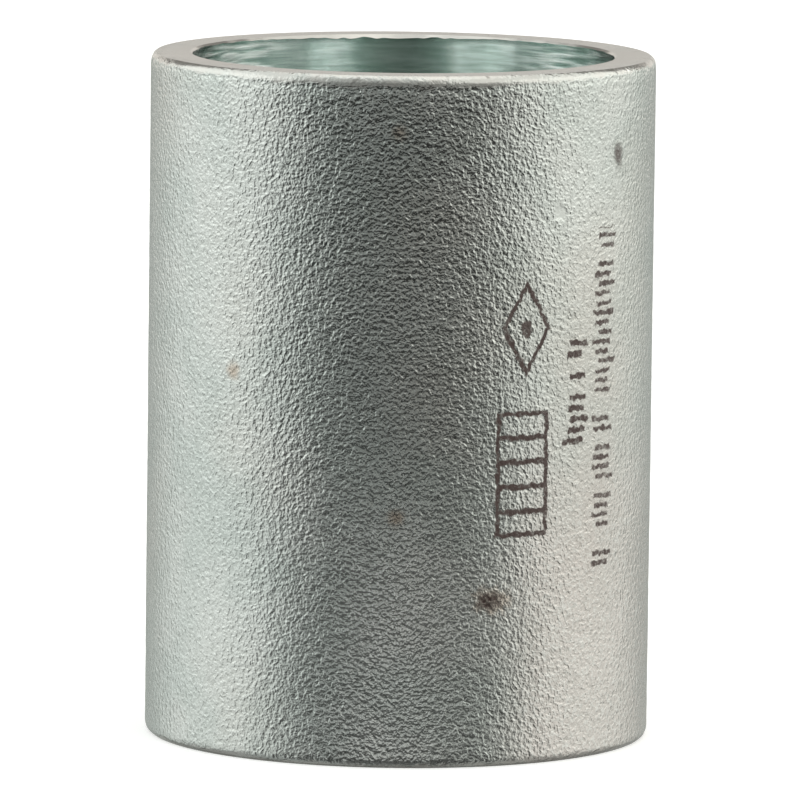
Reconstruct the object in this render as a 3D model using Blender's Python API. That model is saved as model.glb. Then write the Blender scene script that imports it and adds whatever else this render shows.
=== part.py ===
"""Recessed drive coupling for 1-1/4 inch pipe: one steel sleeve, threaded from both ends.

Metres. +Z runs along the bore, and the origin is on the bore's axis at mid-length.
The whole object is a single turned piece, so it is one closed mesh: a plain round
outside, a smooth unthreaded recess inside each mouth, and a right-hand taper pipe
thread that narrows from each recess to mid-length, where the two pipe ends meet.
"""

import math

import bmesh
import bpy

INCH = 0.0254

# The blank
OUTER_DIAMETER = 2.035 * INCH
LENGTH = 2.75 * INCH
EDGE_WIDTH = 0.00055  # how far each rounded outer edge reaches in from the side
EDGE_DEPTH = 0.00110  # how far it reaches along the side

# The recess inside each mouth, which shields the first pipe threads
RECESS_DIAMETER = 1.700 * INCH
MOUTH_CHAMFER_WIDTH = 0.00020
MOUTH_CHAMFER_DEPTH = 0.00050
FLOOR_RISE = 0.00030  # the recess floor slopes up to its wall by this much

# Taper pipe thread, 11-1/2 turns to the inch, 1 in 16 on the diameter
THREAD_PITCH = INCH / 11.5
THREAD_HEIGHT = 0.8 * THREAD_PITCH
THREAD_TAPER = 1 / 16
THREAD_MIDDLE_DIAMETER = 1.55713 * INCH  # pitch diameter where the two tapers meet
THREAD_LENGTH = 1.0 * INCH  # on each side of mid-length

SIDES = 72
LEAST_STEP = 0.00006  # a thread point closer than this to a recess floor is left out

# Bright zinc plate over steel
ZINC_COLOUR = (0.62, 0.64, 0.62, 1.0)
ZINC_ROUGHNESS = 0.38
ZINC_METALLIC = 1.0


def clear_scene():
    for found in list(bpy.data.objects):
        bpy.data.objects.remove(found, do_unlink=True)


def pitch_radius(height):
    """Half the thread's pitch diameter at a height above or below mid-length."""
    return (THREAD_MIDDLE_DIAMETER + abs(height) * THREAD_TAPER) / 2


def thread_radius(height, turn):
    """The threaded wall's radius at a height, on the axial line at this part of a turn.

    The wall swings evenly between crest and root, one swing and back for each pitch.
    """
    half_turns = 2 * (height / THREAD_PITCH - turn)
    swing = abs(half_turns % 2 - 1)  # 1 on a crest, 0 at a root
    return pitch_radius(height) + THREAD_HEIGHT * (0.5 - swing)


def add_point(mesh, radius, turn, height):
    angle = 2 * math.pi * turn
    return mesh.verts.new((radius * math.cos(angle), radius * math.sin(angle), height))


def add_ring(mesh, radius, height):
    return [add_point(mesh, radius, side / SIDES, height) for side in range(SIDES)]


def join_rings(mesh, first, second):
    """A band of faces from one ring to the next."""
    for side in range(SIDES):
        after = (side + 1) % SIDES
        mesh.faces.new((first[side], first[after], second[after], second[side]))


def thread_column(mesh, turn, last_row):
    """The crest and root points on one axial line of the bore, by row.

    Rows climb with the helix. The rows past a recess floor all share the one point
    where the thread's wall meets that floor.
    """
    ends = {}
    for height in (-THREAD_LENGTH, THREAD_LENGTH):
        ends[height] = add_point(mesh, thread_radius(height, turn), turn, height)
    column = {}
    for row in range(-last_row, last_row + 1):
        height = THREAD_PITCH * (row / 2 + turn)
        if height < LEAST_STEP - THREAD_LENGTH:
            column[row] = ends[-THREAD_LENGTH]
        elif height > THREAD_LENGTH - LEAST_STEP:
            column[row] = ends[THREAD_LENGTH]
        else:
            column[row] = add_point(mesh, thread_radius(height, turn), turn, height)
    return column


def add_thread(mesh):
    """The helical wall of the bore. Returns its bottom and top edge as rings."""
    last_row = math.ceil(2 * THREAD_LENGTH / THREAD_PITCH) + 4
    columns = [
        thread_column(mesh, side / SIDES, last_row) for side in range(SIDES)
    ]
    for side in range(SIDES):
        here = columns[side]
        after = columns[(side + 1) % SIDES]
        climbed = 2 if side == SIDES - 1 else 0  # a full turn climbs two rows
        for row in range(-last_row, last_row - 2):
            corners = (
                here[row + 1],
                after[row + 1 + climbed],
                after[row + climbed],
                here[row],
            )
            distinct = list(dict.fromkeys(corners))
            if len(distinct) > 2:
                mesh.faces.new(distinct)
    bottom = [column[-last_row] for column in columns]
    top = [column[last_row] for column in columns]
    return bottom, top


def outside_profile():
    """(radius, height) from the blank's side, over its end, to the recess floor."""
    outer = OUTER_DIAMETER / 2
    recess = RECESS_DIAMETER / 2
    mouth = LENGTH / 2
    return [
        (outer, mouth - EDGE_DEPTH),
        (outer - 0.3 * EDGE_WIDTH, mouth - 0.4 * EDGE_DEPTH),
        (outer - EDGE_WIDTH, mouth),
        (recess + MOUTH_CHAMFER_WIDTH, mouth),
        (recess, mouth - MOUTH_CHAMFER_DEPTH),
        (recess, THREAD_LENGTH + FLOOR_RISE),
    ]


def add_end(mesh, thread_edge, facing):
    """One end of the sleeve, from its outer side round to the thread's edge.

    facing is 1 for the top end and -1 for the bottom. Returns the ring on the side.
    """
    rings = [
        add_ring(mesh, radius, facing * height) for radius, height in outside_profile()
    ]
    for first, second in zip(rings, rings[1:] + [thread_edge]):
        join_rings(mesh, first, second)
    return rings[0]


def zinc_plate():
    material = bpy.data.materials.new("zinc_plated_steel")
    material.use_nodes = True
    shader = material.node_tree.nodes["Principled BSDF"]
    shader.inputs["Base Color"].default_value = ZINC_COLOUR
    shader.inputs["Roughness"].default_value = ZINC_ROUGHNESS
    shader.inputs["Metallic"].default_value = ZINC_METALLIC
    return material


def build_sleeve():
    mesh = bmesh.new()
    bottom_edge, top_edge = add_thread(mesh)
    top_side = add_end(mesh, top_edge, 1)
    bottom_side = add_end(mesh, bottom_edge, -1)
    join_rings(mesh, bottom_side, top_side)
    bmesh.ops.recalc_face_normals(mesh, faces=mesh.faces)

    data = bpy.data.meshes.new("coupling_sleeve")
    mesh.to_mesh(data)
    mesh.free()
    data.shade_smooth()
    data.set_sharp_from_angle(angle=math.radians(24))
    data.materials.append(zinc_plate())

    sleeve = bpy.data.objects.new("coupling_sleeve", data)
    bpy.context.scene.collection.objects.link(sleeve)
    return sleeve


clear_scene()
build_sleeve()
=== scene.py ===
"""The looks of a recessed pipe drive coupling: one zinc-plated steel sleeve on a pale floor."""

import math

import bpy
import numpy as np
from mathutils import Matrix, Vector, noise


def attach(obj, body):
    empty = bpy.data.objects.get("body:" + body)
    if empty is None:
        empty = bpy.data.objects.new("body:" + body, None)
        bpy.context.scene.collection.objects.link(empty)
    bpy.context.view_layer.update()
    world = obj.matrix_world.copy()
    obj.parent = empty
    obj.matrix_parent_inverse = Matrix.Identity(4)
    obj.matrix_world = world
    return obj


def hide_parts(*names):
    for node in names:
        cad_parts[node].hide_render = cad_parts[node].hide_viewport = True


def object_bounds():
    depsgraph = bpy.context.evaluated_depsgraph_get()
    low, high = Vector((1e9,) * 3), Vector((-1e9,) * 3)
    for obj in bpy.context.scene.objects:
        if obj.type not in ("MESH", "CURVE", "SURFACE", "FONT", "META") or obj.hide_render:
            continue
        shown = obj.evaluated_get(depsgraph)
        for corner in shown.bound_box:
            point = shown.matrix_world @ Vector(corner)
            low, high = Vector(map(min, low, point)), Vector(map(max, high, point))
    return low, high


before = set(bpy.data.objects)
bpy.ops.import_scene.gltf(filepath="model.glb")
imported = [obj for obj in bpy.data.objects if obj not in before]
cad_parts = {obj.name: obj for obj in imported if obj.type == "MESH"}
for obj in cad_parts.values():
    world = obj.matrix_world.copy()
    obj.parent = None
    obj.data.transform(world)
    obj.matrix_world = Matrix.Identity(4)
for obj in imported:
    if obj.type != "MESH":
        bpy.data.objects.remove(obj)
CAD_LOW, CAD_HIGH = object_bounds()
MIDDLE = (CAD_LOW + CAD_HIGH) / 2

MM = 0.001
INCH = 0.0254

# ---------------------------------------------------------------- sizes

OUTER_RADIUS = (CAD_HIGH.x - CAD_LOW.x) / 2
HALF_LENGTH = (CAD_HIGH.z - CAD_LOW.z) / 2
RECESS_RADIUS = 0.850 * INCH
EDGE_WIDTH = 0.55 * MM
EDGE_DEPTH = 1.10 * MM
EDGE_CURVE = 3.0  # a higher power rounds the edge closer to the end
MOUTH_WIDTH = 0.20 * MM
MOUTH_DEPTH = 0.50 * MM
BURR_WIDTH = 0.03 * MM  # how far the chamfer's lower edge stands into the bore
BURR_HEIGHT = 0.10 * MM
RECESS_TOP = 0.9 * MM  # the recess wall's even rows start this far from the end
RECESS_STEPS = 10
THREAD_PITCH = INCH / 11.5
THREAD_HEIGHT = 0.8 * THREAD_PITCH
THREAD_TAPER = 1 / 16
THREAD_MIDDLE_DIAMETER = 1.55713 * INCH
THREAD_LENGTH = 1.0 * INCH
FLOOR_RISE = 0.30 * MM
FLAT_SHARE = 0.06  # of a pitch, the flat left on each crest and root
LEAST_STEP = 0.03 * MM  # a thread point closer than this to a recess floor is left out
SHARP_ANGLE = math.radians(26)

COLUMNS = 384  # around the outside; the bore has half as many
ROW_STEP = 0.45 * MM
EDGE_ZONE = 1.9 * MM  # finer rows this close to each end
EDGE_STEP = 0.12 * MM

MOST_TURNED = 1.10 * MM  # how far down the side the top end was turned smooth
LEAST_TURNED = 0.42 * MM
TURNED_BLUR = 0.12 * MM  # half the width of the band's uneven border
GRAIN_DEPTH = 0.022 * MM
WAVE_DEPTH = 0.05 * MM
BASE_DEPTH = 0.012 * MM
STEP_DEPTH = 0.05 * MM  # how far the side steps in under the top turned band
STEP_START = -0.05 * MM  # where the step begins, is deepest and ends, below the band
STEP_BOTTOM = 0.15 * MM
STEP_END = 0.9 * MM

# how fine the outside's unevenness is: about how many swings there are in a metre
SMEAR_FINENESS = 500
RIDGE_FINENESS = 650
WAVE_FINENESS = 70
WAVE_START = Vector((3, 1, 7))

TURNED_SHINE = 0.68  # how smooth the turned band is on the whole, and how that varies
TURNED_SMEAR = 0.5
RIDGE_SHARPNESS = 2.2

# unevenness as layers of size and fineness. The mouth's is in millimetres, and its
# noise is sampled round a circle of radius 1.
BAND_RAGGED = ((0.34 * MM, 900), (0.24 * MM, 260))
MOUTH_RAGGED = ((0.32, 34), (0.18, 13))

TORN_SIDE = math.radians(98)  # the part of the mouth with the deepest, roughest chamfer
TORN_FOCUS = 20
EVEN_DEPTH = 0.42  # of the full depth, away from the torn side
TORN_DEPTH = 0.44  # added to it at the torn side
TORN_WIDTH = 0.6
EVEN_RAGGED = 0.35  # of the torn side's raggedness

# material slots of the one piece
OUTSIDE = 0
BORE = 1

# ---------------------------------------------------------------- colours

ZINC_DIM = (0.58, 0.62, 0.58, 1)
ZINC_CLEAR = (0.68, 0.70, 0.66, 1)
ZINC_WARM = (0.66, 0.62, 0.56, 1)
ZINC_FLUSHED = (0.70, 0.62, 0.575, 1)
ZINC_DULL = (0.30, 0.31, 0.29, 1)
# a pale colour painted on the crests as a highlight, and a dark one painted in the pits as shade
ZINC_CREST_HIGHLIGHT = (0.84, 0.87, 0.83, 1)
ZINC_PIT_SHADE = (0.22, 0.23, 0.20, 1)
ZINC_TURNED = (0.62, 0.59, 0.55, 1)
ZINC_SMUDGED = (0.42, 0.34, 0.29, 1)
RUST = (0.42, 0.27, 0.16, 1)
RUST_CORE = (0.050, 0.030, 0.027, 1)
NICK_COLOUR = (0.10, 0.085, 0.07, 1)
INK_COLOUR = (0.060, 0.036, 0.030, 1)
BORE_DARK = (0.45, 0.57, 0.52, 1)
BORE_PALE = (0.64, 0.735, 0.695, 1)
# near white, painted on the bore's left and right sides as a sheen
BORE_SIDE_SHEEN = (0.96, 0.98, 0.96, 1)
FLOOR_DIM = (0.90, 0.90, 0.89, 1)
FLOOR_CLEAR = (0.92, 0.92, 0.91, 1)
FLOOR_GLOW = (1.0, 1.0, 0.99, 1)
LIGHT_RIGHT = (0.985, 0.995, 0.962, 1)
LIGHT_LEFT = (0.965, 1.0, 0.99, 1)
LIGHT_BEHIND_LOW = (0.955, 1.0, 0.955, 1)
LIGHT_BEHIND_HIGH = (1.0, 0.965, 0.91, 1)
GREY = (0.5, 0.5, 0.5)  # the middle of a noise texture's colour
BLACK = (0, 0, 0, 1)
WHITE = (1, 1, 1, 1)


# ---------------------------------------------------------------- mesh


class Shell:
    """Collects the rings and faces of one closed turned piece."""

    def __init__(self):
        self.points = []
        self.turned = []
        self.faces = []
        self.kinds = []

    def ring(self, radii, heights, turned):
        count = len(radii)
        start = len(self.points)
        angles = np.arange(count) * (2 * math.pi / count)
        self.points += np.column_stack(
            (radii * np.cos(angles), radii * np.sin(angles), heights)
        ).tolist()
        self.turned += list(turned)
        return list(range(start, start + count))

    def smooth_ring(self, radii, heights, count):
        """A ring of the cut surfaces. radii and heights are one number or one for each point."""
        return self.ring(
            np.broadcast_to(radii, count), np.broadcast_to(heights, count), [1.0] * count
        )

    def face(self, corners, kind):
        corners = list(dict.fromkeys(corners))
        if len(corners) > 2:
            self.faces.append(corners)
            self.kinds.append(kind)

    def band(self, first, second, kind):
        """Faces from one ring to the next, seen anticlockwise when second is above."""
        count = len(first)
        for i in range(count):
            j = (i + 1) % count
            self.face((first[i], first[j], second[j], second[i]), kind)

    def halve(self, fine, coarse, kind):
        """Faces between a ring and one with half as many points."""
        count = len(coarse)
        for i in range(count):
            j = (i + 1) % count
            a, b, c = fine[2 * i], fine[2 * i + 1], fine[(2 * i + 2) % len(fine)]
            self.face((a, b, coarse[i]), kind)
            self.face((b, coarse[j], coarse[i]), kind)
            self.face((b, c, coarse[j]), kind)


def ease(value, low, high):
    t = min(max((value - low) / (high - low), 0.0), 1.0)
    return t * t * (3 - 2 * t)


def uneven(spot, layers):
    """Noise at a spot, as the sum of layers of (size, fineness)."""
    return sum(size * noise.noise(spot * fineness) for size, fineness in layers)


def edge_radius(height):
    """The turned outside, rounded at both ends."""
    depth = HALF_LENGTH - abs(height)
    if depth >= EDGE_DEPTH:
        return OUTER_RADIUS
    return OUTER_RADIUS - EDGE_WIDTH * (1 - depth / EDGE_DEPTH) ** EDGE_CURVE


def outside_point(angle, height):
    """Radius of the rough outside, and how far it is turned smooth there, from 0 to 1."""
    x, y = OUTER_RADIUS * math.cos(angle), OUTER_RADIUS * math.sin(angle)
    spot = Vector((x, y, height))
    depth = HALF_LENGTH - abs(height)
    reach = LEAST_TURNED
    if height > 0:
        front = max(0.0, -math.sin(angle)) ** 2
        reach = LEAST_TURNED + front * (MOST_TURNED - LEAST_TURNED)
    past = depth + uneven(spot, BAND_RAGGED) - reach
    turned = 1 - ease(past, -TURNED_BLUR, TURNED_BLUR)
    turned *= TURNED_SHINE + TURNED_SMEAR * min(noise.noise(spot * SMEAR_FINENESS), 0.5)
    ridge = 1 - min(abs(noise.noise(spot * RIDGE_FINENESS)) * RIDGE_SHARPNESS, 1)
    wave = 0.5 + 0.5 * noise.noise(spot * WAVE_FINENESS + WAVE_START)
    fall = BASE_DEPTH + GRAIN_DEPTH * (1 - ridge) + WAVE_DEPTH * wave
    if height > 0:
        step = ease(past, STEP_START, STEP_BOTTOM) * (1 - ease(past, STEP_BOTTOM, STEP_END))
        fall += STEP_DEPTH * step
    return edge_radius(height) - fall * (1 - turned), turned


def outside_heights():
    """The heights of the outside's rings, from the bottom up, finer near the ends."""
    fine = int(EDGE_ZONE / EDGE_STEP)
    top = [HALF_LENGTH - EDGE_ZONE * (k / fine) for k in range(fine + 1)]
    low = HALF_LENGTH - EDGE_ZONE
    rows = round(2 * low / ROW_STEP)
    inner = [-low + 2 * low * k / rows for k in range(1, rows)]
    return sorted([-h for h in top] + inner + top)


def add_outside(shell):
    """Rows of the outside from the bottom face up. Returns its first and last ring."""
    rings = []
    angles = [2 * math.pi * i / COLUMNS for i in range(COLUMNS)]
    for height in outside_heights():
        radii, turned = zip(*(outside_point(angle, height) for angle in angles))
        rings.append(shell.ring(np.array(radii), np.full(COLUMNS, height), turned))
    for first, second in zip(rings, rings[1:]):
        shell.band(first, second, OUTSIDE)
    return rings[0], rings[-1]


def thread_radius(height, turn):
    """The threaded wall's radius: flats on crest and root, straight flanks between."""
    phase = (height / THREAD_PITCH - turn) % 1
    swing = abs(2 * phase - 1)  # 1 on a crest, 0 at a root
    swing = (swing - FLAT_SHARE) / (1 - 2 * FLAT_SHARE)
    swing = min(max(swing, 0), 1)
    middle = (THREAD_MIDDLE_DIAMETER + abs(height) * THREAD_TAPER) / 2
    return middle + THREAD_HEIGHT * (0.5 - swing)


def add_thread(shell):
    """The threaded wall as columns of points that climb with the helix.

    Returns its bottom and top edge.
    """
    count = COLUMNS // 2
    half_flat = FLAT_SHARE / 2
    corners = (half_flat, 0.5 - half_flat, 0.5 + half_flat, 1 - half_flat)
    per_pitch = len(corners)
    turns = math.ceil(THREAD_LENGTH / THREAD_PITCH) + 2
    last = turns * per_pitch
    columns = []
    for i in range(count):
        turn = i / count
        angle = 2 * math.pi * turn
        column = {}

        def point(height):
            radius = thread_radius(height, turn)
            shell.points.append(
                (radius * math.cos(angle), radius * math.sin(angle), height)
            )
            shell.turned.append(1.0)
            return len(shell.points) - 1

        ends = (point(-THREAD_LENGTH), point(THREAD_LENGTH))
        for row in range(-last, last + 1):
            pitch, corner = divmod(row, per_pitch)
            height = THREAD_PITCH * (pitch + corners[corner] + turn)
            if height <= -THREAD_LENGTH + LEAST_STEP:
                column[row] = ends[0]
            elif height >= THREAD_LENGTH - LEAST_STEP:
                column[row] = ends[1]
            else:
                column[row] = point(height)
        columns.append(column)
    for i in range(count):
        here, after = columns[i], columns[(i + 1) % count]
        climb = per_pitch if i == count - 1 else 0
        for row in range(-last, last - per_pitch):
            shell.face(
                (
                    here[row + 1],
                    after[row + 1 + climb],
                    after[row + climb],
                    here[row],
                ),
                BORE,
            )
    return [c[-last] for c in columns], [c[last] for c in columns]


def mouth_chamfer(count, facing):
    """The hand-dressed chamfer's depth and width round the mouth."""
    depths, widths = [], []
    for i in range(count):
        angle = 2 * math.pi * i / count
        spot = Vector((math.cos(angle), math.sin(angle), 2.0 * facing))
        torn = max(0.0, math.cos(angle - TORN_SIDE)) ** TORN_FOCUS
        ragged = uneven(spot, MOUTH_RAGGED) * (EVEN_RAGGED + (1 - EVEN_RAGGED) * torn)
        depths.append(MOUTH_DEPTH * (EVEN_DEPTH + TORN_DEPTH * torn) + ragged * MM)
        widths.append(MOUTH_WIDTH * (1 + TORN_WIDTH * torn))
    return np.array(depths), np.array(widths)


def add_mouth(shell, outer_ring, thread_ring, facing):
    """The flat end, the mouth's chamfer, the recess and its floor."""
    count = COLUMNS // 2
    depths, widths = mouth_chamfer(count, facing)
    mouth = shell.smooth_ring(RECESS_RADIUS + widths, facing * HALF_LENGTH, count)
    lip = shell.smooth_ring(
        RECESS_RADIUS - BURR_WIDTH, facing * (HALF_LENGTH - depths), count
    )
    under = shell.smooth_ring(
        RECESS_RADIUS, facing * (HALF_LENGTH - depths - BURR_HEIGHT), count
    )
    floor = THREAD_LENGTH + FLOOR_RISE
    start = HALF_LENGTH - RECESS_TOP
    walls = []
    for k in range(RECESS_STEPS + 1):
        height = start + (floor - start) * k / RECESS_STEPS
        walls.append(shell.smooth_ring(RECESS_RADIUS, facing * height, count))
    if facing > 0:
        shell.halve(outer_ring, mouth, OUTSIDE)
    else:
        turned_over = [outer_ring[-i] for i in range(COLUMNS)]
        shell.halve(turned_over, [mouth[-i] for i in range(count)], OUTSIDE)
    chain = [mouth, lip, under] + walls + [thread_ring]
    kinds = [OUTSIDE] + [BORE] * (len(chain) - 2)
    for first, second, kind in zip(chain, chain[1:], kinds):
        pair = (first, second) if facing > 0 else (second, first)
        shell.band(*pair, kind)


def link(name, data):
    made = bpy.data.objects.new(name, data)
    bpy.context.scene.collection.objects.link(made)
    return made


def build_sleeve(materials):
    shell = Shell()
    bottom_edge, top_edge = add_outside(shell)
    thread_bottom, thread_top = add_thread(shell)
    add_mouth(shell, top_edge, thread_top, 1)
    add_mouth(shell, bottom_edge, thread_bottom, -1)
    mesh = bpy.data.meshes.new("sleeve")
    mesh.from_pydata(shell.points, [], shell.faces)
    for material in materials:
        mesh.materials.append(material)
    mesh.polygons.foreach_set("material_index", shell.kinds)
    turned = mesh.attributes.new("turned", "FLOAT", "POINT")
    turned.data.foreach_set("value", shell.turned)
    mesh.update()
    mesh.shade_smooth()
    mesh.set_sharp_from_angle(angle=SHARP_ANGLE)
    return link("sleeve", mesh)


# ---------------------------------------------------------------- nodes


class Graph:
    """Short calls for building one node tree."""

    def __init__(self, tree):
        self.tree = tree
        tree.nodes.clear()

    def node(self, kind, **settings):
        made = self.tree.nodes.new(kind)
        for key, value in settings.items():
            setattr(made, key, value)
        return made

    def put(self, socket, value):
        if isinstance(value, bpy.types.NodeSocket):
            self.tree.links.new(value, socket)
        else:
            socket.default_value = value

    def fed(self, made, values):
        """The first output of a node, with these values in its first inputs."""
        for socket, value in zip(made.inputs, values):
            self.put(socket, value)
        return made.outputs[0]

    def math(self, operation, *values):
        return self.fed(self.node("ShaderNodeMath", operation=operation), values)

    def plus(self, first, second):
        return self.math("ADD", first, second)

    def minus(self, first, second):
        return self.math("SUBTRACT", first, second)

    def times(self, first, second):
        return self.math("MULTIPLY", first, second)

    def over(self, first, second):
        return self.math("DIVIDE", first, second)

    def size(self, value):
        return self.math("ABSOLUTE", value)

    def length(self, across, along):
        return self.math("SQRT", self.plus(self.times(across, across), self.times(along, along)))

    def vector(self, operation, *values):
        return self.fed(self.node("ShaderNodeVectorMath", operation=operation), values)

    def scaled(self, vector, factor):
        made = self.node("ShaderNodeVectorMath", operation="SCALE")
        self.put(made.inputs[0], vector)
        self.put(made.inputs["Scale"], factor)
        return made.outputs[0]

    def split(self, vector):
        made = self.node("ShaderNodeSeparateXYZ")
        self.put(made.inputs[0], vector)
        return made.outputs

    def stretched(self, x, y, along, across_scale, along_scale):
        """A place for noise that is drawn out round the axis."""
        parts = (
            self.times(x, across_scale),
            self.times(y, across_scale),
            self.times(along, along_scale),
        )
        return self.fed(self.node("ShaderNodeCombineXYZ"), parts)

    def smooth(self, value, low, high, out_low=0.0, out_high=1.0):
        """out_low where value is low, easing to out_high where it is high."""
        made = self.node("ShaderNodeMapRange", interpolation_type="SMOOTHSTEP")
        return self.fed(made, (value, low, high, out_low, out_high))

    def noise(self, vector, scale, detail=1.0, roughness=0.5):
        """A noise texture's value and colour."""
        made = self.node("ShaderNodeTexNoise")
        self.put(made.inputs["Vector"], vector)
        self.put(made.inputs["Scale"], scale)
        self.put(made.inputs["Detail"], detail)
        self.put(made.inputs["Roughness"], roughness)
        return made.outputs

    def cells(self, vector, scale):
        """Each cell's three random numbers, and the distance from its middle."""
        made = self.node("ShaderNodeTexVoronoi")
        self.put(made.inputs["Vector"], vector)
        self.put(made.inputs["Scale"], scale)
        return self.split(made.outputs["Color"]), made.outputs["Distance"]

    def mix(self, factor, first, second):
        """Colours mixed by factor."""
        made = self.node("ShaderNodeMix", data_type="RGBA")
        self.put(made.inputs[0], factor)
        self.put(made.inputs[6], first)
        self.put(made.inputs[7], second)
        return made.outputs[2]

    def blend(self, factor, first, second):
        """Plain numbers mixed by factor."""
        made = self.node("ShaderNodeMix", data_type="FLOAT")
        self.put(made.inputs[0], factor)
        self.put(made.inputs[2], first)
        self.put(made.inputs[3], second)
        return made.outputs[0]

    def bump(self, height, distance):
        made = self.node("ShaderNodeBump")
        self.put(made.inputs["Height"], height)
        self.put(made.inputs["Distance"], distance)
        return made.outputs[0]


# ---------------------------------------------------------------- ink

# lengths on the print are in millimetres on the unrolled outside, and a fineness is
# about the number of swings in a metre
LINE_WIDTH = 0.50
LINE_SOFTNESS = 0.11
FILL_SOFTNESS = 0.14
BAR_SOFTNESS = 0.12
BLOT_SOFTNESS = 0.5
WOBBLE_REACH = 0.7  # how far the print is smeared to either side
WOBBLE_FINENESS = 1500.0
WEAR_FINENESS = 900.0
FADE_FINENESS = 2600.0
SHORTEST_BAR = 0.62  # as a share of the longest
LEAST_CHANCE = 0.08  # a bar with a random number below this is left out
BAR_SHIFT = 0.6  # how far bars stray to the sides, as a share of half their length
ROW_SOFTNESS = 0.1

LADDER_ARC = 13.0
RUNG_HEIGHTS = (-1.6, -4.1, -6.6, -9.1)
DIAMOND_PLACE = (13.3, 9.4)
BLOT_PLACE = (26.0, 26.2)
BLOT_SHARE = 0.8
WEAK_SHARE = 0.9


class Ink:
    """Flat shapes on the unrolled outside, in millimetres: arc to the right, height up."""

    def __init__(self, graph, arc, height):
        self.g = graph
        self.arc = arc
        self.height = height

    def offsets(self, arc, height):
        """How far to the right of a place, and how far above it."""
        return self.g.minus(self.arc, arc), self.g.minus(self.height, height)

    def box(self, arc, height, half_arc, half_height):
        """Distance outside a box's edge, negative inside."""
        g = self.g
        across, along = self.offsets(arc, height)
        past_side = g.minus(g.size(across), half_arc)
        past_end = g.minus(g.size(along), half_height)
        return g.math("MAXIMUM", past_side, past_end)

    def oval(self, arc, height, half_arc, half_height):
        """Roughly the distance outside an oval's edge."""
        g = self.g
        across, along = self.offsets(arc, height)
        reach = g.length(g.over(across, half_arc), g.over(along, half_height))
        return g.times(g.minus(reach, 1.0), min(half_arc, half_height))

    def diamond(self, arc, height, half_arc, half_height):
        """Roughly the distance outside a diamond's edge."""
        g = self.g
        across, along = self.offsets(arc, height)
        reach = g.plus(g.over(g.size(across), half_arc), g.over(g.size(along), half_height))
        steep = half_arc * half_height / math.hypot(half_arc, half_height)
        return g.times(g.minus(reach, 1.0), steep)

    def fill(self, distance, soft=FILL_SOFTNESS):
        return self.g.smooth(distance, soft, -soft)

    def line(self, distance):
        """The outline of a shape."""
        away = self.g.minus(self.g.size(distance), LINE_WIDTH / 2)
        return self.g.smooth(away, LINE_SOFTNESS, -LINE_SOFTNESS)

    def any(self, *masks):
        total = masks[0]
        for mask in masks[1:]:
            total = self.g.math("MAXIMUM", total, mask)
        return total

    def bars(self, arc, half_arc, bottom, top, pitch, width, seed):
        """A line of short bars across the print, each of its own length."""
        g = self.g
        place = g.over(g.minus(self.height, bottom), pitch)
        cell = g.math("FLOOR", place)
        chance = g.node("ShaderNodeTexWhiteNoise", noise_dimensions="1D")
        g.put(chance.inputs["W"], g.plus(cell, seed))
        red, green, blue = g.split(chance.outputs["Color"])
        along = g.times(g.size(g.minus(g.minus(place, cell), 0.5)), pitch)
        shift = g.times(g.minus(red, 0.5), BAR_SHIFT * half_arc)
        across = g.size(g.minus(g.minus(self.arc, arc), shift))
        reach = g.blend(green, SHORTEST_BAR * half_arc, half_arc)
        distance = g.math("MAXIMUM", g.minus(across, reach), g.minus(along, width / 2))
        above = g.smooth(self.height, bottom - ROW_SOFTNESS, bottom)
        below = g.smooth(self.height, top + ROW_SOFTNESS, top)
        shown = g.math("GREATER_THAN", blue, LEAST_CHANCE)
        bar = g.times(self.fill(distance, BAR_SOFTNESS), g.times(above, below))
        return g.times(bar, shown)


def ink_mask(g, place, arc, height):
    """Where the marks are: a ladder frame, a diamond with a dot, rows of bars and a blot."""
    wobble = g.noise(place, WOBBLE_FINENESS)[1]
    shift = g.split(g.vector("SUBTRACT", wobble, GREY))
    ink = Ink(
        g,
        g.plus(arc, g.times(shift[0], WOBBLE_REACH)),
        g.plus(height, g.times(shift[1], WOBBLE_REACH)),
    )
    frame_line = ink.line(ink.box(LADDER_ARC, -5.3, 2.75, 6.1))
    rungs = [ink.fill(ink.box(LADDER_ARC, rung, 2.7, 0.32)) for rung in RUNG_HEIGHTS]
    diamond = ink.line(ink.diamond(*DIAMOND_PLACE, 2.6, 4.5))
    dot = ink.fill(ink.oval(*DIAMOND_PLACE, 0.7, 0.9))
    short_row = ink.bars(
        arc=19.7, half_arc=1.5, bottom=-2.9, top=7.9, pitch=1.1, width=0.62, seed=4.0
    )
    long_row = ink.bars(
        arc=23.9, half_arc=1.7, bottom=-15.6, top=19.0, pitch=0.98, width=0.50, seed=41.0
    )
    blot = ink.fill(ink.oval(*BLOT_PLACE, 0.8, 1.3), BLOT_SOFTNESS)
    strong = ink.any(frame_line, *rungs, diamond, dot, short_row)
    weak = g.times(ink.any(long_row, g.times(blot, BLOT_SHARE)), WEAK_SHARE)
    worn = g.smooth(g.noise(place, WEAR_FINENESS, 3.0, 0.6)[0], 0.36, 0.58)
    faded = g.smooth(g.noise(place, FADE_FINENESS, 2.0, 0.6)[0], 0.34, 0.52)
    keep = g.times(g.blend(worn, 0.80, 1.0), g.blend(faded, 0.70, 1.0))
    return g.times(ink.any(strong, weak), keep)


# ---------------------------------------------------------------- materials

# how fine each pattern is: about how many of its swings there are in a metre
WARP_FINENESS = 900.0
WRINKLE_FINENESS = 1750.0
GRAIN_FINENESS = 2400.0
DENT_FINENESS = 110.0
TONE_FINENESS = 90.0
WARM_FINENESS = 38.0
RUST_FINENESS = 1300.0
SPECK_FINENESS = 120.0
NICK_FINENESS = 620.0
GLOSS_FINENESS = 260.0
CLOUD_FINENESS = 120.0
FLOOR_FINENESS = 3.0

# the same for the marks that are drawn out round the axis: across it, then along it
STREAK_FINENESS = (60.0, 5200.0)
RING_FINENESS = (240.0, 2300.0)
DRIFT_FINENESS = (40.0, 600.0)

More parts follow.
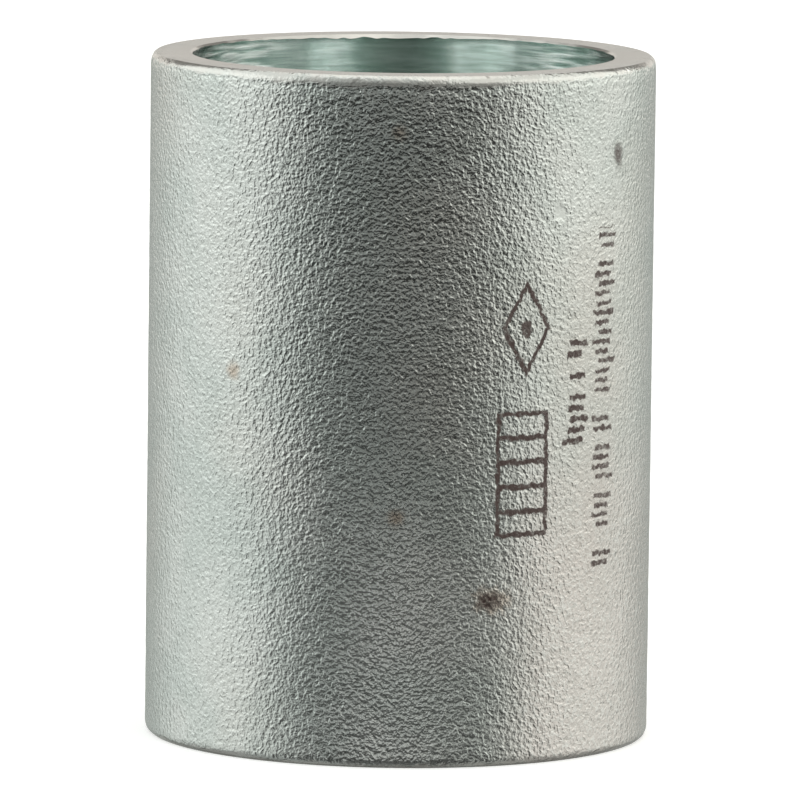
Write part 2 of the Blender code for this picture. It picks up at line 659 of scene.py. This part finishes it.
ROUGH_RELIEF = 0.110 * MM
BORE_RELIEF = 0.065 * MM
NICK_REACH = (0.9 * MM, 0.5 * MM)  # nicks start and are full this far in from the outside
# where the bore's sides are cut more coarsely and also painted paler as a sheen
COARSE_SHEEN_REACH = (11.5 * MM, 14.5 * MM)  # the bore's sides are cut more roughly
WARP_REACH = 0.4 * MM  # how far the grain's pattern is bent out of shape

# how much of each pattern the relief takes
RIDGE_SHARE = 0.24
GRAIN_SHARE = 1.3
DENT_SHARE = 0.8
STREAK_SHARE = 0.10
RING_SHARE = 0.6
DRIFT_SHARE = 0.4

# how much of each colour covers the zinc
WARM_SHARE = 0.35
FLUSH_SHARE = 0.6
DULL_SHARE = 0.10
# how much painted highlight the crests take, and how much painted shade the pits take
CREST_HIGHLIGHT_SHARE = 0.34
PIT_SHADE_SHARE = 0.24
TURNED_SHARE = 0.8
HALO_SHARE = 0.40
SPECK_SHARE = 0.5
SPOT_SHARE = 0.98
NICK_SHARE = 0.6

# how far ink and rust take the metal's shine away, and what they leave
INK_DULL = 0.92
SPOT_DULL = 0.30
DULL_ROUGHNESS = 0.55
TURNED_ROUGHNESS = 0.24

FLOOR_ROUGHNESS = 0.9
FLOOR_STRENGTH = 0.42
WALL_STRENGTH = 1.0

# how ragged a stain's edge is and how much of it is solid, as shares of its radius
STAIN_RAGGED = 1.2
STAIN_CORE = 0.35

# the dark spot and the rust round it, on an arc drawn in so that they come out wide
SPOT_SQUEEZE = 0.65
SPOT_PLACE = (6.12, -18.1)
SPOT_RADIUS = 1.15
HALO_PLACE = (6.32, -18.0)
HALO_RADIUS = 1.9
SMUDGE_PLACE = (22.0, -1.0)
SMUDGE_REACH = (7.5, 21.0)


def surface(name):
    """A new material's graph, its shader and the place on the object."""
    material = bpy.data.materials.new(name)
    material.use_nodes = True
    g = Graph(material.node_tree)
    shader = g.node("ShaderNodeBsdfPrincipled")
    output = g.node("ShaderNodeOutputMaterial")
    g.put(output.inputs["Surface"], shader.outputs[0])
    place = g.node("ShaderNodeTexCoord").outputs["Object"]
    return material, g, shader, place


def stain(g, arc, height, at_arc, at_height, radius, ragged):
    """A ragged round spot, 1 at its middle."""
    away = g.length(g.minus(arc, at_arc), g.minus(height, at_height))
    away = g.plus(away, g.times(g.minus(ragged, 0.5), radius * STAIN_RAGGED))
    return g.smooth(away, radius, radius * STAIN_CORE)


def rough_relief(g, place, turned, low):
    """The raw tube's low ridges and pits. Returns their height, the crest lines that get a
    painted highlight, and the grain, whose low places get painted shade.
    """
    warp = g.vector("SUBTRACT", g.noise(place, WARP_FINENESS)[1], GREY)
    bent = g.vector("ADD", place, g.scaled(warp, WARP_REACH))
    wrinkle = g.noise(bent, WRINKLE_FINENESS, 0.5, 0.45)[0]
    off_crest = g.size(g.minus(wrinkle, 0.5))
    ridge = g.smooth(off_crest, 0.22, 0.0)
    # the crest lines, where a highlight is painted on
    crest_highlight = g.smooth(off_crest, 0.070, 0.015)
    grain = g.noise(place, GRAIN_FINENESS, 1.6, 0.55)[0]
    relief = g.plus(g.times(ridge, RIDGE_SHARE), g.times(grain, GRAIN_SHARE))
    chance, distance = g.cells(bent, DENT_FINENESS)
    dented = g.math("GREATER_THAN", chance[1], 0.72)
    dented = g.times(dented, g.smooth(distance, 0.11, 0.05))
    flat = g.math("MAXIMUM", turned, g.times(dented, DENT_SHARE))
    relief = g.times(relief, g.minus(1.0, flat))
    return g.times(relief, g.blend(low, 1.1, 0.9)), crest_highlight, grain


def add_rust(g, zinc, place, arc, height, grain):
    """The zinc's colour with small rust specks and one dark spot, and where the spot is."""
    ragged = g.noise(place, RUST_FINENESS, 3.0, 0.65)[0]
    drawn_in = g.times(arc, SPOT_SQUEEZE)
    spot = stain(g, drawn_in, height, *SPOT_PLACE, SPOT_RADIUS, ragged)
    spot = g.times(spot, g.smooth(grain, 0.66, 0.44, 0.66, 1.0))
    halo = stain(g, drawn_in, height, *HALO_PLACE, HALO_RADIUS, ragged)
    chance, distance = g.cells(place, SPECK_FINENESS)
    chosen = g.math("GREATER_THAN", chance[0], 0.90)
    near = g.smooth(g.plus(distance, g.times(ragged, 0.12)), 0.22, 0.08)
    speck = g.times(g.times(chosen, near), SPECK_SHARE)
    rust = g.math("MAXIMUM", g.times(halo, HALO_SHARE), speck)
    zinc = g.mix(rust, zinc, RUST)
    return g.mix(g.times(spot, SPOT_SHARE), zinc, RUST_CORE), spot


def rough_zinc():
    """The outside: dimpled raw tube and smooth turned ends under bright zinc, with ink."""
    material, g, shader, place = surface("zinc_rough")
    x, y, z = g.split(place)
    arc = g.times(g.math("ARCTAN2", x, g.times(y, -1.0)), OUTER_RADIUS / MM)
    height = g.over(z, MM)
    radius = g.length(x, y)
    low = g.smooth(height, 20.0, -25.0)
    turned = g.node("ShaderNodeAttribute", attribute_name="turned").outputs["Fac"]
    rough = g.minus(1.0, turned)

    relief, crest_highlight, grain = rough_relief(g, place, turned, low)
    streak = g.noise(g.stretched(x, y, g.plus(radius, z), *STREAK_FINENESS), 1.0, 2.0, 0.6)[0]
    turning_marks = g.times(g.times(streak, turned), STREAK_SHARE)
    normal = g.bump(g.plus(relief, turning_marks), ROUGH_RELIEF)

    # slowly varying zinc, pinker at the lower right
    tone = g.smooth(g.noise(place, TONE_FINENESS, 3.0, 0.55)[0], 0.35, 0.65)
    zinc = g.mix(tone, ZINC_DIM, ZINC_CLEAR)
    warm = g.smooth(g.noise(place, WARM_FINENESS, 2.0)[0], 0.45, 0.7)
    zinc = g.mix(g.times(warm, WARM_SHARE), zinc, ZINC_WARM)
    flush = g.times(g.smooth(height, 8.0, -18.0), g.smooth(arc, 8.0, 16.0))
    zinc = g.mix(g.times(flush, FLUSH_SHARE), zinc, ZINC_FLUSHED)

    # painted highlights on the raw tube's crests and painted shade in its pits, browner on the
    # turned ends
    zinc = g.mix(g.times(rough, DULL_SHARE), zinc, ZINC_DULL)
    # a painted highlight on the crests
    zinc = g.mix(g.times(g.times(crest_highlight, rough), CREST_HIGHLIGHT_SHARE), zinc, ZINC_CREST_HIGHLIGHT)
    # painted shade in the pits
    pit_shade = g.times(g.smooth(grain, 0.48, 0.30), g.times(rough, PIT_SHADE_SHARE))
    zinc = g.mix(pit_shade, zinc, ZINC_PIT_SHADE)
    zinc = g.mix(g.times(turned, TURNED_SHARE), zinc, ZINC_TURNED)
    zinc, spot = add_rust(g, zinc, place, arc, height, grain)

    # nicks on the rounded edge, and the smudge round the print
    nick = g.smooth(g.noise(place, NICK_FINENESS, 2.0, 0.6)[0], 0.62, 0.70)
    rim = g.smooth(radius, OUTER_RADIUS - NICK_REACH[0], OUTER_RADIUS - NICK_REACH[1])
    nick = g.times(nick, g.times(turned, rim))
    zinc = g.mix(g.times(nick, NICK_SHARE), zinc, NICK_COLOUR)
    smudge = Ink(g, arc, height).oval(*SMUDGE_PLACE, *SMUDGE_REACH)
    smudge = g.times(g.smooth(smudge, 2.0, -5.0), g.blend(tone, 0.10, 0.24))
    zinc = g.mix(smudge, zinc, ZINC_SMUDGED)

    ink = g.times(ink_mask(g, place, arc, height), rough)
    dull = g.math("MAXIMUM", g.smooth(ink, 0.40, 0.95, 0.0, INK_DULL), g.times(spot, SPOT_DULL))
    blur = g.smooth(g.noise(place, GLOSS_FINENESS, 3.0, 0.6)[0], 0.3, 0.7, 0.10, 0.16)
    blur = g.plus(blur, g.times(low, 0.06))
    blur = g.blend(turned, blur, TURNED_ROUGHNESS)
    g.put(shader.inputs["Base Color"], g.mix(g.smooth(ink, 0.0, 0.95), zinc, INK_COLOUR))
    g.put(shader.inputs["Metallic"], g.minus(1.0, dull))
    g.put(shader.inputs["Roughness"], g.blend(dull, blur, DULL_ROUGHNESS))
    g.put(shader.inputs["Normal"], normal)
    return material


def bored_zinc():
    """The machined inside: smooth, greenish, with fine rings left by the tool. Its left and
    right sides are cut more coarsely and painted paler, a painted sheen.
    """
    material, g, shader, place = surface("zinc_bored")
    x, y, z = g.split(place)
    rings = g.noise(g.stretched(x, y, z, *RING_FINENESS), 1.0, 1.5)[0]
    drift = g.noise(g.stretched(x, y, z, *DRIFT_FINENESS), 1.0)[0]
    lines = g.plus(g.times(rings, RING_SHARE), g.times(drift, DRIFT_SHARE))
    # the left and right sides: cut more coarsely, and painted paler there as a sheen
    coarse = g.smooth(g.size(x), *COARSE_SHEEN_REACH)
    lines = g.times(lines, g.blend(coarse, 0.45, 1.3))
    cloud = g.noise(place, CLOUD_FINENESS, 3.0, 0.55)[0]
    tone = g.smooth(g.blend(g.blend(coarse, 0.25, 0.7), cloud, rings), 0.36, 0.64)
    # a near-white painted sheen on the left and right sides
    pale = g.mix(coarse, BORE_PALE, BORE_SIDE_SHEEN)
    g.put(shader.inputs["Base Color"], g.mix(tone, BORE_DARK, pale))
    shader.inputs["Metallic"].default_value = 1.0
    shader.inputs["Anisotropic"].default_value = 1.0
    shader.inputs["Anisotropic Rotation"].default_value = 0.25
    g.put(shader.inputs["Roughness"], g.smooth(rings, 0.3, 0.7, 0.18, 0.24))
    g.put(shader.inputs["Normal"], g.bump(lines, BORE_RELIEF))
    return material


def floor_material():
    material, g, shader, place = surface("pale_floor")
    tone = g.smooth(g.noise(place, FLOOR_FINENESS, 3.0)[0], 0.3, 0.7)
    g.put(shader.inputs["Base Color"], g.mix(tone, FLOOR_DIM, FLOOR_CLEAR))
    shader.inputs["Roughness"].default_value = FLOOR_ROUGHNESS
    shader.inputs["Emission Color"].default_value = FLOOR_GLOW
    shader.inputs["Emission Strength"].default_value = FLOOR_STRENGTH
    return material


# ---------------------------------------------------------------- studio

# directions in the studio are in degrees from the front and above level, sizes in
# metres, lamp powers in watts, and the camera's lens and sensor in millimetres
FLOOR_REACH = 9.0
WALL_SIDES = 64
WALL_RADIUS = 3.2
WALL_HEIGHT = 1.0
CARD_DISTANCE = 0.110
LOW_CARD_SPREAD = math.radians(70)

CAMERA_DISTANCE = 1.100
CAMERA_RISE = math.radians(7.01)
CAMERA_ROLL = math.radians(0.69)
CAMERA_LENS = 482.8
CAMERA_SENSOR = 36.0
CAMERA_CLIP = (0.05, 60.0)
CAMERA_AIM = (0.05 * MM, 0, -0.75 * MM)


def front_level(g, turn, side, rise):
    """How bright the studio is in front: a gap, darkest below level, lit from above."""
    off_middle = g.smooth(turn, 20.0, 24.0)
    level = g.smooth(rise, -12.0, -4.5, 0.035, 0.30)
    level = g.times(level, g.blend(off_middle, g.smooth(rise, 3.0, 9.0, 1.0, 0.70), 1.0))
    level = g.times(level, g.smooth(turn, 22.0, 30.0, 1.0, 1.15))
    level = g.plus(level, g.smooth(rise, 8.0, 32.0, 0.0, 0.22))
    level = g.plus(level, g.smooth(rise, -26.0, -50.0, 0.0, 0.10))
    ahead = g.smooth(rise, 34.0, 66.0, 0.0, 0.42)
    right = g.smooth(side, -0.2, 0.2, 0.02, 0.50)
    beside = g.smooth(rise, 14.0, 34.0, 0.0, right)
    return g.plus(level, g.blend(off_middle, ahead, beside))


def flank_level(g, rise):
    """How bright the studio is at both sides: brightest 18 to 30 degrees up."""
    level = g.plus(0.955, g.smooth(rise, -5.0, 18.0, 0.0, 0.50))
    level = g.times(level, g.smooth(rise, -8.0, -42.0, 1.0, 0.42))
    return g.times(level, g.smooth(rise, 30.0, 55.0, 1.0, 0.74))


def back_level(g, turn, rise):
    """How bright the studio is behind: a strip just above level, which the end ring mirrors."""
    level = g.smooth(turn, 164.0, 174.0, 0.68, 0.52)
    level = g.times(level, g.smooth(rise, -5.0, 3.0, 0.78, 1.45))
    level = g.times(level, g.smooth(rise, 12.0, 20.0, 1.0, 0.25))
    level = g.plus(level, g.smooth(rise, 48.0, 66.0, 0.0, 0.75))
    return g.times(level, g.smooth(rise, -10.0, -42.0, 1.0, 0.40))


def studio_world():
    """Soft light from the sides, behind and above, and a dark gap in front."""
    world = bpy.data.worlds.new("studio")
    bpy.context.scene.world = world
    world.use_nodes = True
    g = Graph(world.node_tree)
    x, y, z = g.split(g.node("ShaderNodeTexCoord").outputs["Generated"])
    side = g.math("ARCTAN2", x, g.times(y, -1.0))  # radians to the right of the front
    turn = g.times(g.size(side), 180 / math.pi)  # degrees from the front, either way
    rise = g.times(g.math("ARCSINE", z), 180 / math.pi)

    front = front_level(g, turn, side, rise)
    level = g.blend(g.smooth(turn, 39.0, 76.0), front, flank_level(g, rise))
    soft_edge = g.smooth(turn, 120.0, 150.0)
    hard_edge = g.smooth(turn, 132.0, 138.0)
    to_back = g.blend(g.smooth(rise, 8.0, 14.0), soft_edge, hard_edge)
    level = g.blend(to_back, level, back_level(g, turn, rise))

    colour = g.mix(g.smooth(side, 0.4, -0.4), LIGHT_RIGHT, LIGHT_LEFT)
    behind = g.mix(g.smooth(rise, -4.0, 3.0), LIGHT_BEHIND_LOW, LIGHT_BEHIND_HIGH)
    colour = g.mix(g.smooth(turn, 125.0, 155.0), colour, behind)
    sky = g.node("ShaderNodeBackground")
    g.put(sky.inputs["Color"], colour)
    g.put(sky.inputs["Strength"], level)
    output = g.node("ShaderNodeOutputWorld")
    g.put(output.inputs["Surface"], sky.outputs[0])


def add_softbox(name, place, aim, size, power):
    lamp = bpy.data.lights.new(name, "AREA")
    lamp.shape = "RECTANGLE"
    lamp.size, lamp.size_y = size
    lamp.energy = power
    holder = link(name, lamp)
    holder.location = place
    towards = Vector(aim) - Vector(place)
    holder.rotation_euler = towards.to_track_quat("-Z", "Y").to_euler()
    holder.visible_camera = False
    return holder


def add_backdrop(level):
    """A white wall round the floor, for low views. Only the camera sees it."""
    points = []
    for i in range(WALL_SIDES):
        angle = 2 * math.pi * i / WALL_SIDES
        x, y = WALL_RADIUS * math.cos(angle), WALL_RADIUS * math.sin(angle)
        points += [(x, y, level), (x, y, level + WALL_HEIGHT)]
    last = 2 * WALL_SIDES
    faces = []
    for i in range(0, last, 2):
        faces.append((i, (i + 2) % last, (i + 3) % last, i + 1))
    mesh = bpy.data.meshes.new("backdrop")
    mesh.from_pydata(points, [], faces)
    material, _, shader, _ = surface("white_backdrop")
    shader.inputs["Base Color"].default_value = BLACK
    shader.inputs["Emission Color"].default_value = WHITE
    shader.inputs["Emission Strength"].default_value = WALL_STRENGTH
    mesh.materials.append(material)
    backdrop = link("backdrop", mesh)
    backdrop.visible_glossy = False
    backdrop.visible_diffuse = False
    backdrop.visible_shadow = False


def add_floor(level):
    corners = []
    for x, y in ((-1, -1), (1, -1), (1, 1), (-1, 1)):
        corners.append((x * FLOOR_REACH, y * FLOOR_REACH, level))
    mesh = bpy.data.meshes.new("floor")
    mesh.from_pydata(corners, [], [(0, 1, 2, 3)])
    mesh.materials.append(floor_material())
    floor = link("floor", mesh)
    floor.visible_glossy = False
    floor.visible_shadow = False


def add_lights():
    """One softbox overhead, two low cards in front, and two small cards at the mouth."""
    add_softbox("softbox_top", (0, 0.1, 1.1), (0, 0, 0), (0.9, 0.9), 0.8)
    low_card = add_softbox(
        "low_card", (0, -CARD_DISTANCE, -0.025), (0, 0, -0.060), (0.20, 0.034), 0.0018
    )
    low_card.data.spread = LOW_CARD_SPREAD
    add_softbox(
        "paper_card", (0, -CARD_DISTANCE, -0.062), (0, 0, -0.062), (0.20, 0.032), 0.0020
    )
    rim = Vector((0, 0, CAD_HIGH.z))
    add_softbox(
        "bore_card_left",
        rim + Vector((-0.0202, -0.0077, 0.0095)),
        rim + Vector((0.0088, 0.0195, -0.002)),
        (0.020, 0.018),
        0.0019,
    )
    add_softbox(
        "bore_card_right",
        rim + Vector((0.0200, -0.0116, 0.0095)),
        rim + Vector((-0.0080, 0.0200, -0.002)),
        (0.0145, 0.018),
        0.0011,
    )


def add_camera():
    """Nearly level, from far off, with a slight roll."""
    data = bpy.data.cameras.new("camera")
    data.sensor_width = CAMERA_SENSOR
    data.lens = CAMERA_LENS
    data.clip_start, data.clip_end = CAMERA_CLIP
    camera = link("camera", data)
    back = CAMERA_DISTANCE * math.cos(CAMERA_RISE)
    up = CAMERA_DISTANCE * math.sin(CAMERA_RISE)
    place = MIDDLE + Vector((0, -back, up))
    turn = (MIDDLE + Vector(CAMERA_AIM) - place).to_track_quat("-Z", "Y")
    roll = Matrix.Rotation(CAMERA_ROLL, 4, "Z")
    camera.matrix_world = Matrix.Translation(place) @ turn.to_matrix().to_4x4() @ roll
    bpy.context.scene.camera = camera


# ---------------------------------------------------------------- the scene

bpy.context.scene.view_settings.view_transform = "Standard"
sleeve = build_sleeve([rough_zinc(), bored_zinc()])
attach(sleeve, "root")
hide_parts("coupling_sleeve")
add_floor(CAD_LOW.z)
add_backdrop(CAD_LOW.z)
studio_world()
add_lights()
add_camera()
